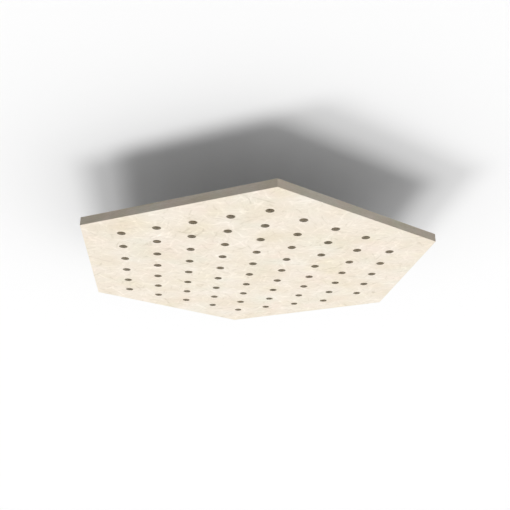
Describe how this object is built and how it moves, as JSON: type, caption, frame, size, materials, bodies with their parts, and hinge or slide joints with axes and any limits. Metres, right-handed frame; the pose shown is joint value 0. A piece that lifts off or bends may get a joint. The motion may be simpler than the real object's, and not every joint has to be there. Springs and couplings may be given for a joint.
{
  "type": "ceiling panel",
  "caption": "Hexagonal perforated ceiling panel: one flat board of pressed fibre, hung level below a ceiling by bores in its back.",
  "frame": {"origin": "middle of the visible face, which is the underside when the panel hangs", "axes": "+Z from the visible face to the back, up when the panel hangs; +Y towards one corner of the hexagon; +X square to one of its sides, towards the last column of holes, which is level with its neighbour"},
  "size_m": [1.022, 1.18, 0.024],
  "materials": {
    "pressed_fibre": "matte"
  },
  "bodies": {
    "root": {"panel": "pressed_fibre"}
  },
  "joints": []
}
